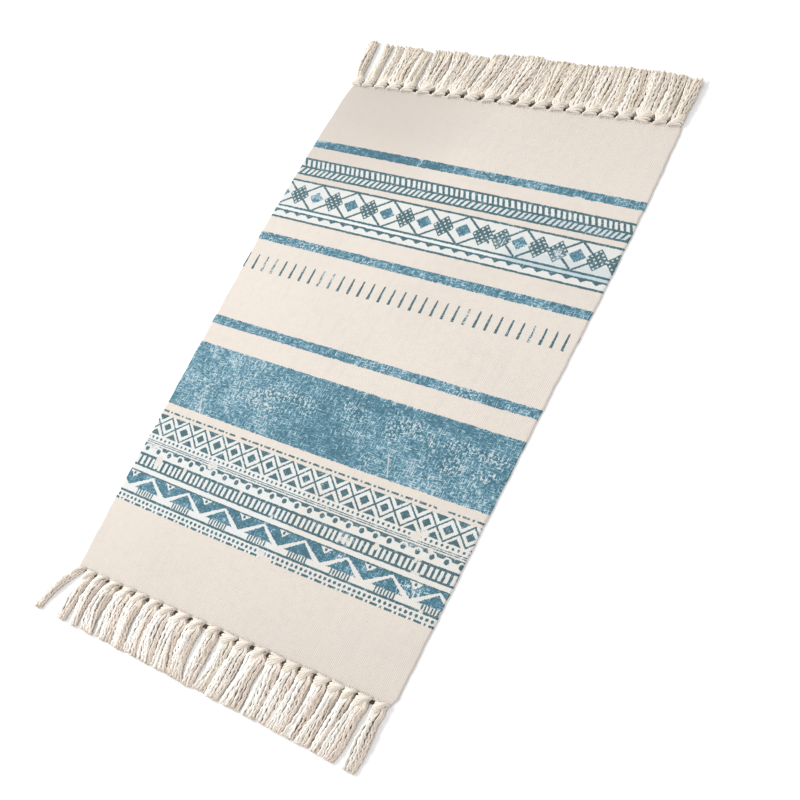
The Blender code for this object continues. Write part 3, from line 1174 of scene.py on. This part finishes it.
def hanging_row(x, v):
    """A line with small triangles that hang from it, over a plain line."""
    small = wedge(x.from_nearest(*HANGING_REPEAT), HANGING_TOP - v, *HANGING)
    return joined(rules(v, HANGING_LINE, HANGING_TOP), small, rules(v, LINE, UNDER_HANGING))


def upright_dashes(x, v):
    """A row of upright dashes that grow a little wider downwards."""
    half = (DASH_SPAN[1] - v) * DASH_FLARE + DASH_HALF
    dashes = abs(closer(x, DASH_CLOSER).from_nearest(*DASH_REPEAT)) - half
    return dashes.larger(stripe(v, *DASH_SPAN))


def upper_lines(x, v):
    """The fine work of the upper borders, and its solid diamonds."""
    crossed, filled = lattice_row(x, v)
    return joined(herringbone(x, v), crossed, hanging_row(x, v), upright_dashes(x, v)), filled


print("upright dashes every", DASH_REPEAT[1], "m")

# %% [markdown]
# ## Outlined diamonds and dots
#
# Below the wide worn band comes a row of small and large diamonds in outline, each with
# a core, then small dots and a fine double line. A thick line follows, which is scooped
# out around big dots: the scoop is a larger dot, and its distance with the other sign
# cuts it away.

# %% Outlined diamonds and dots
DIAMOND_PITCH = 0.0715
DIAMOND_MIDDLE = -0.2028
DIAMOND_LINE = 0.0026
# The two sets of diamonds: where they start, half of the outline, and half of the core.
Diamonds = namedtuple("Diamonds", "start outline core")
DIAMONDS = [Diamonds(*row) for row in (
    (-0.2464, (0.0192, 0.0165), (0.0092, 0.0076)),
    (-0.2105, (0.0163, 0.0150), (0.0080, 0.0068)),
)]
BETWEEN_REPEAT = (-0.2285, DIAMOND_PITCH / 2)
BETWEEN_TOP = -0.1862
BETWEEN_FOOT = -0.2194
BETWEEN = (0.0108, 0.0092)

# Rows of dots: height, radius, and repeat.
SMALL_DOTS = (-0.2244, 0.0021, (-0.1916, 0.00895))
BIG_REPEAT = (-0.2021, 0.0238)
BIG_DOTS = (-0.2432, 0.0040, BIG_REPEAT)
SCOOPS = (-0.2440, 0.0078, BIG_REPEAT)
# Lines: how thick, and at which heights. The thick one is from and to.
DOUBLE_LINE = (0.0012, -0.2296, -0.2324)
THICK_EDGE = (0.0016, -0.2361)
THICK_LINE = (-0.2408, -0.2354)


def diamond_row(x, v):
    """Small and large outlined diamonds in turn, with solid triangles between them."""
    dv = v - DIAMOND_MIDDLE
    shapes = []
    for row in DIAMONDS:
        dx = x.from_nearest(row.start, DIAMOND_PITCH)
        shapes.append(abs(diamond(dx, dv, *row.outline)) - DIAMOND_LINE / 2)
        shapes.append(diamond(dx, dv, *row.core))
    between = x.from_nearest(*BETWEEN_REPEAT)
    for height in (BETWEEN_TOP - v, v - BETWEEN_FOOT):
        shapes.append(wedge(between, height, *BETWEEN))
    return joined(*shapes)


def dots(x, v, height, radius, repeat):
    """A row of round dots."""
    return spot(x.from_nearest(*repeat), v - height, radius)


def dot_row(x, v):
    """A fine double line, then a thick one that is scooped out around big dots."""
    thick = stripe(v, *THICK_LINE).larger(-dots(x, v, *SCOOPS))
    return joined(dots(x, v, *SMALL_DOTS), rules(v, *DOUBLE_LINE), thick, rules(v, *THICK_EDGE),
                  dots(x, v, *BIG_DOTS))


print("outlined diamonds every", DIAMOND_PITCH, "m")

# %% [markdown]
# ## Ladder and zigzag
#
# A ladder comes next, then a cream zigzag with solid triangles above and below it, short
# strokes under its peaks, and a small notch with a dot in each valley. Rows of a dash
# and a dot in turn close the borders above and below.

# %% Ladder and zigzag
RAILS = ((0.0036, -0.2536), (0.0030, -0.2710))
RUNG_SPAN = (-0.2710, -0.2533)
RUNG = 0.0044
RUNG_REPEAT = (-0.2400, 0.00965)
RUNG_WOBBLE = (141.0, 0.0008)

ZIGZAG_TOP = -0.2804
ZIGZAG_LINES = ((0.0020, ZIGZAG_TOP), (0.0034, -0.3146))
ZIGZAG_PITCH = 0.0774
PEAKS = (-0.2555, ZIGZAG_PITCH)
VALLEYS = (PEAKS[0] + ZIGZAG_PITCH / 2, ZIGZAG_PITCH)
ZIGZAG_CREST = -0.2838
ZIGZAG_FALL = 0.0215
ZIGZAG_LINE = 0.0016
UNDER_FOOT = -0.3042
UNDER = (0.0250, 0.0172)
NOTCH_TOP = -0.2812
NOTCH = (0.0112, 0.0098)
NOTCH_DOTS = (-0.2845, 0.0023, VALLEYS)
SHORT_STROKES = (0.0, 0.0052, 0.0026)
SHORT_REACH = 0.0182
SHORT_SPAN = (-0.3130, -0.3045)

LAST_DOTS = (-0.3213, 0.0025, (-0.1974, 0.00863))
# Rows of a dash and a dot in turn: a line, then start, repeat, dash and dot.
DASH_DOTS = (((0.0028, -0.1800), (-0.0152, 0.02385, 0.0120, 0.0036)),
             ((0.0032, -0.3276), (-0.0156, 0.02410, 0.0124, 0.0036)))


def ladder(x, v):
    """Two lines with rungs between them."""
    rungs = bars(x + wobble(x, *RUNG_WOBBLE), *RUNG_REPEAT, RUNG)
    return joined(*[rules(v, *rail) for rail in RAILS], rungs.larger(stripe(v, *RUNG_SPAN)))


def zigzag_solids(x, v):
    """The solid triangles above and below the cream zigzag."""
    from_peak = x.from_nearest(*PEAKS)
    line = abs(from_peak) * (ZIGZAG_FALL / (ZIGZAG_PITCH / 2)) + (v - ZIGZAG_CREST)
    over = (ZIGZAG_LINE - line).larger(v - ZIGZAG_TOP)
    under = wedge(from_peak, v - UNDER_FOOT, *UNDER)
    notch = wedge(x.from_nearest(*VALLEYS), NOTCH_TOP - v, *NOTCH)
    return over.larger(-notch).smaller(under)


def zigzag_lines(x, v):
    """The lines, strokes and dots of the zigzag band."""
    from_peak = x.from_nearest(*PEAKS)
    strokes = bars(from_peak, *SHORT_STROKES).larger(abs(from_peak) - SHORT_REACH)
    strokes = strokes.larger(stripe(v, *SHORT_SPAN))
    return joined(*[rules(v, *line) for line in ZIGZAG_LINES], strokes, dots(x, v, *NOTCH_DOTS))


def lower_lines(x, v):
    """The fine work of the lower borders."""
    marks = [dash_dot(x, *row).larger(rules(v, *line)) for line, row in DASH_DOTS]
    return joined(diamond_row(x, v), dot_row(x, v), ladder(x, v), zigzag_lines(x, v),
                  dots(x, v, *LAST_DOTS), *marks)


print("the zigzag repeats every", ZIGZAG_PITCH, "m")

# %% [markdown]
# ## How worn the ink is
#
# The ink is thin. It is rubbed off in short flecks that follow the threads, and in a few
# places a whole patch is nearly gone. One number says how worn it is at a point: noise
# at three scales, which are single crossings, short runs of thread and soft patches.
# Two tables add the places that stand out on the real mat.

# %% How worn the ink is
WEAR_PATCHES = Noise(21.0, 5.0, 0.68, 0.0)
PATCH_WEAR = 0.36
SPECKS = Noise(230.0, 2.0, 0.70, 4.0)
SPECK_STEP = (0.44, 0.60)
RAGGED = Noise(110.0, 2.0, 0.50, 5.0)
RAGGED_STEP = (0.30, 0.62)
RAGGED_LEAST = 0.35
FLECKS_ALONG = 105
FLECKS_IN_WARP = 1.45
FLECKS_IN_WEFT = 1.3
CROSSING_WEAR = 0.05

# Places where the ink is more worn or, with a minus, less.
WORN_PLACES = [Place(*row) for row in (
    (-0.150, 0.3147, 0.190, 0.030, -0.11),
    (0.006, 0.3170, 0.014, 0.007, 0.09),
    (0.135, 0.3160, 0.030, 0.006, 0.05),
    (-0.290, 0.3215, 0.030, 0.005, 0.14),
    (-0.092, 0.3150, 0.006, 0.012, 0.14),
    (0.200, 0.3080, 0.014, 0.003, 0.30),
    (0.240, -0.0240, 0.014, 0.006, -0.10),
    (-0.220, -0.100, 0.150, 0.100, 0.04),
    (0.180, -0.150, 0.160, 0.040, 0.03),
    (-0.020, 0.2200, 0.250, 0.060, -0.04),
    (0.000, -0.150, 0.100, 0.030, -0.04),
    (0.060, -0.070, 0.060, 0.012, -0.06),
    (0.190, -0.065, 0.100, 0.014, -0.05),
    (0.000, -0.2918, 0.600, 0.030, -0.07),
    (0.118, -0.2840, 0.014, 0.008, 0.08),
    (0.248, -0.2920, 0.024, 0.020, 0.10),
    (-0.262, -0.2840, 0.012, 0.006, 0.12),
    (-0.245, 0.2220, 0.016, 0.020, 0.10),
    (0.113, 0.2160, 0.014, 0.018, 0.16),
    (0.211, 0.2140, 0.016, 0.020, 0.18),
    (-0.285, -0.2375, 0.020, 0.005, 0.40),
    (-0.263, -0.2560, 0.008, 0.014, 0.70),
    (-0.163, -0.2330, 0.010, 0.010, 0.60),
    (-0.207, -0.2536, 0.004, 0.004, 0.90),
    (-0.090, -0.2536, 0.003, 0.004, 0.90),
    (-0.020, -0.2700, 0.005, 0.006, 0.50),
    (0.113, -0.2620, 0.017, 0.015, 0.24),
    (0.164, -0.2560, 0.005, 0.006, 0.90),
    (0.233, -0.2536, 0.007, 0.005, 0.60),
    (0.238, -0.2710, 0.010, 0.004, 0.40),
    (0.214, -0.2244, 0.012, 0.007, 0.80),
    (0.222, -0.2170, 0.012, 0.006, 0.40),
    (0.215, -0.2380, 0.026, 0.005, 0.26),
    (0.244, -0.2366, 0.005, 0.005, 0.80),
    (0.231, -0.1800, 0.010, 0.005, 0.90),
    (-0.146, -0.1800, 0.006, 0.004, 0.90),
    (-0.006, -0.3213, 0.009, 0.005, 0.90),
    (0.006, -0.3276, 0.014, 0.004, 0.90),
    (0.272, -0.3146, 0.004, 0.004, 0.90),
    (-0.272, 0.0915, 0.007, 0.022, 0.20),
    (-0.252, 0.0915, 0.007, 0.022, 0.20),
    (-0.153, 0.0915, 0.007, 0.022, 0.22),
    (-0.133, 0.0915, 0.007, 0.022, 0.22),
    (0.123, 0.0930, 0.007, 0.022, 0.24),
    (0.236, 0.0930, 0.007, 0.022, 0.30),
)]

# Clusters of cream specks in the solid bands, where the cotton shows through.
CLUSTERS = [Place(*row) for row in (
    (-0.249, -0.113, 0.030, 0.024, 0.40),
    (-0.145, -0.119, 0.034, 0.022, 0.80),
    (-0.125, -0.100, 0.034, 0.014, 0.60),
    (-0.094, -0.096, 0.030, 0.016, 0.90),
    (-0.056, -0.104, 0.026, 0.022, 0.80),
    (-0.100, -0.122, 0.030, 0.012, 0.60),
    (0.030, -0.087, 0.036, 0.026, 0.80),
    (0.024, -0.125, 0.020, 0.014, 0.40),
    (0.085, -0.150, 0.024, 0.014, 0.60),
    (0.102, -0.092, 0.026, 0.030, 0.90),
    (0.132, -0.084, 0.022, 0.014, 1.00),
    (0.165, -0.100, 0.030, 0.014, 0.70),
    (0.212, -0.094, 0.030, 0.014, 1.10),
    (0.214, -0.120, 0.028, 0.018, 1.00),
    (0.262, -0.094, 0.040, 0.012, 1.10),
    (0.272, -0.120, 0.034, 0.012, 0.90),
    (0.225, -0.146, 0.090, 0.030, 0.35),
    (0.185, -0.017, 0.024, 0.014, 1.00),
    (0.245, -0.292, 0.032, 0.026, 1.20),
    (0.118, -0.284, 0.022, 0.012, 1.10),
    (-0.300, 0.138, 0.022, 0.016, 1.20),
    (-0.190, 0.138, 0.016, 0.014, 1.00),
    (-0.090, 0.138, 0.020, 0.014, 0.60),
    (-0.225, 0.138, 0.008, 0.014, 0.80),
)]
CLUSTER_WEAR = 0.32
CLUSTER_MOST = 0.8
BETWEEN_SPECKS = 0.38


def flecks(x, y):
    """Rubbed flecks that follow the threads, from nought to one."""
    crossing = lot(((x / WARP_PITCH).whole(), (y / WEFT_PITCH).whole(), 0.0))
    along_warp = cloud((x * (FLECKS_IN_WARP / WARP_PITCH), y * FLECKS_ALONG, 7.0), detail=1.5)
    along_weft = cloud((x * FLECKS_ALONG, y * (FLECKS_IN_WEFT / WEFT_PITCH), 9.0), detail=1.5)
    return along_warp.larger(along_weft) + (crossing - 0.5) * CROSSING_WEAR


def wear_of_ink(x, y, v, rub):
    """How worn the ink is, and how much of that the worn places give."""
    specks = over_cloth(x, y, SPECKS).fade(*SPECK_STEP)
    ragged = over_cloth(x, y, RAGGED).fade(*RAGGED_STEP) + RAGGED_LEAST
    worn = by_place(x, v, WORN_PLACES) * ragged
    clusters = by_place(x, v, CLUSTERS).smaller(CLUSTER_MOST) * (specks - BETWEEN_SPECKS) * CLUSTER_WEAR
    return rub + (over_cloth(x, y, WEAR_PATCHES) - 0.5) * PATCH_WEAR + worn + clusters, worn


print(len(WORN_PLACES), "worn places and", len(CLUSTERS), "clusters of specks")

# %% [markdown]
# ## Film, wash and scratches
#
# The blocks leave a pale film between their fine lines, and in a few bands a bluish wash
# lies over it. Two straight scratches run across the wide band.

# %% Film, wash and scratches
# Bands with a thin film: from and to along the mat, from where across, how strong.
Film = namedtuple("Film", "low high start much")
FILMS = [Film(*row) for row in (
    (0.2568, 0.2850, -0.40, 0.45),
    (0.1755, 0.2446, -0.40, 0.40),
    (0.1883, 0.1960, -0.40, 0.25),
    (-0.3290, -0.1870, -0.40, 0.46),
    (-0.3290, -0.2060, 0.00, -0.20),
)]
WASHES = [Film(*row) for row in (
    (0.1883, 0.1960, 0.12, 0.55),
    (0.1960, 0.2120, 0.12, 0.26),
    (0.2120, 0.2446, 0.10, 0.05),
    (0.2568, 0.2702, -0.40, 0.14),
    (0.2568, 0.2702, 0.09, 0.22),
)]
FILM_BLUR = 0.0015
FILM_START = 0.02

# Two scratches across the ink: where they start and end.
Scratch = namedtuple("Scratch", "x y end_x end_y")
SCRATCHES = [Scratch(*row) for row in (
    (-0.2375, -0.166, -0.2525, -0.134),
    (0.1275, -0.166, 0.1125, -0.134),
)]
SCRATCH_WIDTH = 0.0016
SCRATCH_BLUR = (-0.0003, 0.0006)
SCRATCH_BARE = 0.7


def film(x, v, bands):
    """How much of a thin film lies between the lines."""
    parts = []
    for band in bands:
        inside = 1.0 - stripe(v, band.low, band.high).fade(-FILM_BLUR, FILM_BLUR)
        parts.append(inside * x.fade(band.start, band.start + FILM_START) * band.much)
    return added(parts)


def scratched(x, y):
    """One on a scratch, nought beside it."""
    parts = []
    for scratch in SCRATCHES:
        run_x = scratch.end_x - scratch.x
        run_y = scratch.end_y - scratch.y
        length = math.hypot(run_x, run_y)
        beside = abs((x - scratch.x) * (run_y / length) - (y - scratch.y) * (run_x / length))
        along = abs(y - (scratch.y + scratch.end_y) / 2) - abs(run_y) / 2
        parts.append(1.0 - (beside - SCRATCH_WIDTH / 2).larger(along).fade(*SCRATCH_BLUR))
    return added(parts)


print(len(FILMS), "films,", len(WASHES), "washes and", len(SCRATCHES), "scratches")

# %% [markdown]
# ## Ink on cotton
#
# Ink sits dark in some crossings of the weave and pale on others. As the wear rises, it
# goes from deep to plain to pale, and then the cotton shows. Its edge moves with the
# wear too, which frays every line a little. The solid bands and the fine lines are two
# inks, laid over the filmed cotton one after the other.

# %% Ink on cotton
INK_DEEP = (0.048, 0.130, 0.174)
INK_PLAIN = (0.098, 0.234, 0.306)
INK_PALE = (0.345, 0.505, 0.580)
INK_LINE = (0.056, 0.122, 0.142)
INK_FILM = (0.700, 0.790, 0.820)
INK_WASH = (0.300, 0.460, 0.540)
EDGE_BLUR = 0.0005
LINE_FRAY = 0.0030
BLOCK_FRAY = 0.0045
# Where wear and rubbing leave an edge in its own place.
EVEN_WEAR = 0.57
EVEN_RUB = 0.56

# Each pair is the wear where a change begins and where it is complete.
DEEP_TO_PLAIN = (0.40, 0.61)
PLAIN_TO_PALE = (0.55, 0.70)
LINE_TO_PALE = (0.55, 0.75)
LINE_PALEST = 0.45
BLOCK_GONE = (0.66, 0.78)
BLOCK_BAREST = 0.88
LINE_GONE = (0.68, 0.92)
FILM_GONE = (0.10, 0.75)

# The solid bands: from and to along the mat.
SOLID_BANDS = ((-0.1663, -0.0577), (0.3081, 0.3213), (0.1308, 0.1445), (-0.0238, -0.0096))


def ink_cover(distance):
    """One inside a shape, nought outside."""
    return 1.0 - distance.fade(-EDGE_BLUR, EDGE_BLUR)


def printed_cloth():
    """The printed side of the cloth."""
    material, tree, shader = start_material("printed_cotton")
    x, y, _ = read_place(tree)
    cream, height = cream_cotton(x, y)
    v = printed_height(x, y)
    rub = flecks(x, y)
    wear, worn = wear_of_ink(x, y, v, rub)
    upper, filled = upper_lines(x, v)
    bands = [stripe(v, low, high) for low, high in SOLID_BANDS]
    solids = joined(*bands, zigzag_solids(x, v), filled)
    lines = upper.smaller(lower_lines(x, v))
    bare = (wear.fade(*BLOCK_GONE) * BLOCK_BAREST).larger(scratched(x, y) * SCRATCH_BARE)
    solid_ink = ink_cover(solids + (wear - EVEN_WEAR) * BLOCK_FRAY) * (1.0 - bare)
    line_ink = ink_cover(lines + (rub - EVEN_RUB) * LINE_FRAY) * (1.0 - wear.fade(*LINE_GONE))
    filmed = blend(film(x, v, FILMS) * (1.0 - worn.fade(*FILM_GONE)), cream, INK_FILM)
    washed = blend(film(x, v, WASHES), filmed, INK_WASH)
    dark_ink = blend(wear.fade(*DEEP_TO_PLAIN), INK_DEEP, INK_PLAIN)
    solid_colour = blend(wear.fade(*PLAIN_TO_PALE), dark_ink, INK_PALE)
    line_colour = blend(wear.fade(*LINE_TO_PALE) * LINE_PALEST, INK_LINE, INK_PALE)
    with_solids = blend(solid_ink, washed, solid_colour)
    finish_cotton(shader, blend(line_ink, with_solids, line_colour), height, WEAVE_DEPTH)
    return material


printed = printed_cloth()
cloth.data.materials.append(printed)
cloth.data.materials.append(underside)
print("printed side has", len(printed.node_tree.nodes), "nodes")

# %% [markdown]
# ## Fringe cotton
#
# The fringe is the same undyed yarn as the cloth, painted a little greyer as shade, since its
# fibres stand up and shade each other. Each yarn gets its own tone from numbers stored with
# its points, and fine noise stretched along it stands for loose fibres. An ambient occlusion
# node paints shade into the deep gaps between yarns and knots, most of all on a tassel's
# shaded side, and the tuck yarns in the holes are painted near black. Right beside the
# cloth the yarns still have its colour.

# %% Fringe cotton
# The pale and the grey yarn colours also carry the painted light and shade across each tassel.
YARN_PALE = (0.960, 0.925, 0.875)
YARN_GREY = (0.672, 0.600, 0.490)
YARN_ROSE = (0.748, 0.620, 0.545)
YARN_SHADE = (0.050, 0.036, 0.026)
FIBRE_DEPTH = 0.0002
# Fibres for each metre across a yarn and along it.
FIBRES_ACROSS = 1500
FIBRES_ALONG = 300
FIBRE_TONE = 0.5
# A yarn is greyer over its last part, and more so at the cut: from and to, how much.
LAST_PART = (0.80, 1.0)
LAST_GREY = 0.28
CUT_END = (0.975, 1.0)
CUT_GREY = 0.3
# How far from the cloth's edge the yarns turn from its colour to their own.
CLOTH_TONE = (0.0008, 0.0026)
SHADE_REACH = 0.007
SHADE_SAMPLES = 6
SHADE_FULL = 0.42
PALE_SPARED = 0.40
CLOTH_SPARED = 0.8


def fringe_cotton():
    """Undyed twisted cotton."""
    material, tree, shader = start_material("fringe_cotton")
    x, y, z = read_place(tree)
    tone, rosy, share, deep = [read_stored(tree, name) for name in ("tone", "rosy", "share", "deep")]
    fibre = cloud((x * FIBRES_ACROSS, y * FIBRES_ALONG, z * FIBRES_ACROSS))
    cut = share.fade(*CUT_END) * CUT_GREY + share.fade(*LAST_PART) * LAST_GREY
    greyer = tone + (fibre - 0.5) * FIBRE_TONE + cut
    twisted = blend(greyer, YARN_PALE, blend(rosy, YARN_GREY, YARN_ROSE))
    by_cloth = 1.0 - (abs(y) - CLOTH_END).fade(*CLOTH_TONE)
    # An ambient occlusion node paints shade into the yarns' colour in deep gaps: painted shade.
    nook = tree.nodes.new("ShaderNodeAmbientOcclusion")
    nook.inputs["Distance"].default_value = SHADE_REACH
    nook.samples = SHADE_SAMPLES
    open_air = Reading(tree, nook.outputs["AO"]).fade(0.0, SHADE_FULL)
    # Pale yarns, on a tassel's side towards the lamp, are spared most of the painted shade: painted light.
    lit = open_air + (1.0 - tone) * PALE_SPARED + by_cloth * CLOTH_SPARED
    shaded = blend(lit, YARN_SHADE, blend(by_cloth, twisted, CREAM))
    # The tuck yarns in the holes between knots are painted near black as shade.
    finish_cotton(shader, blend(deep, shaded, YARN_SHADE), fibre, FIBRE_DEPTH)
    return material


yarn_finish = fringe_cotton()
for piece in (*yarns.values(), *knots.values()):
    piece.data.materials.append(yarn_finish)
print("fringe finish has", len(yarn_finish.node_tree.nodes), "nodes")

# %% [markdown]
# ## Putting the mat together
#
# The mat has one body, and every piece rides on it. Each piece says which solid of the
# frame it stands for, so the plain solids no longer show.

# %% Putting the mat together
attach(cloth, "root")
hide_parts("woven_panel")
for fringe in FRINGES:
    for piece in (yarns[fringe.name], knots[fringe.name]):
        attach(piece, "root")
        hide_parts(fringe.name)
